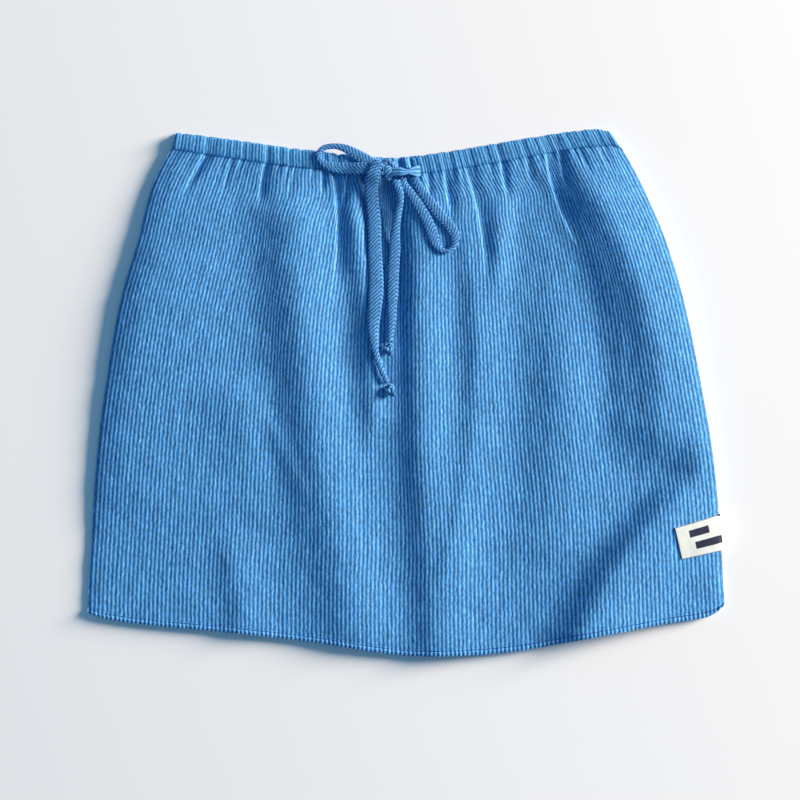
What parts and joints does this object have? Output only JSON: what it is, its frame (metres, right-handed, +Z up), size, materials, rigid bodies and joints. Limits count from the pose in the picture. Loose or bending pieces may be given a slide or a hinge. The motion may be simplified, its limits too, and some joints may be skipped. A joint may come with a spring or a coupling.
{
  "type": "gathered mini skirt laid flat",
  "caption": "Short gathered skirt laid flat, with an elastic casing, a tied drawstring, a narrow turned hem and a tape folded round one side.",
  "frame": {"origin": "on the surface the skirt lies on, under the middle of the cloth's bounding box", "axes": "+X to the right across the skirt as seen from above, +Y from the hem to the waist, +Z up out of the front"},
  "size_m": [0.4845, 0.4007, 0.0154],
  "materials": {
    "skirt_cloth": "two-tone blue striped seersucker, softly puckered, slight sheen",
    "casing_cloth": "the same striped seersucker folded over elastic and gathered",
    "tie_cloth": "the same cloth cut on the bias and sewn into a flat tube",
    "side_tape": "off-white woven tape with plain navy woven bars",
    "thread": "blue sewing thread"
  },
  "bodies": {
    "root": {"front_panel": "skirt_cloth", "back_panel": "skirt_cloth", "casing_front": "casing_cloth", "casing_back": "casing_cloth", "tie_loop_left": "tie_cloth", "tie_loop_right": "tie_cloth", "tie_tail_left": "tie_cloth", "tie_tail_right": "tie_cloth", "bow_knot": "tie_cloth", "end_knot_left": "tie_cloth", "end_knot_right": "tie_cloth", "side_tape": "side_tape"}
  },
  "joints": []
}
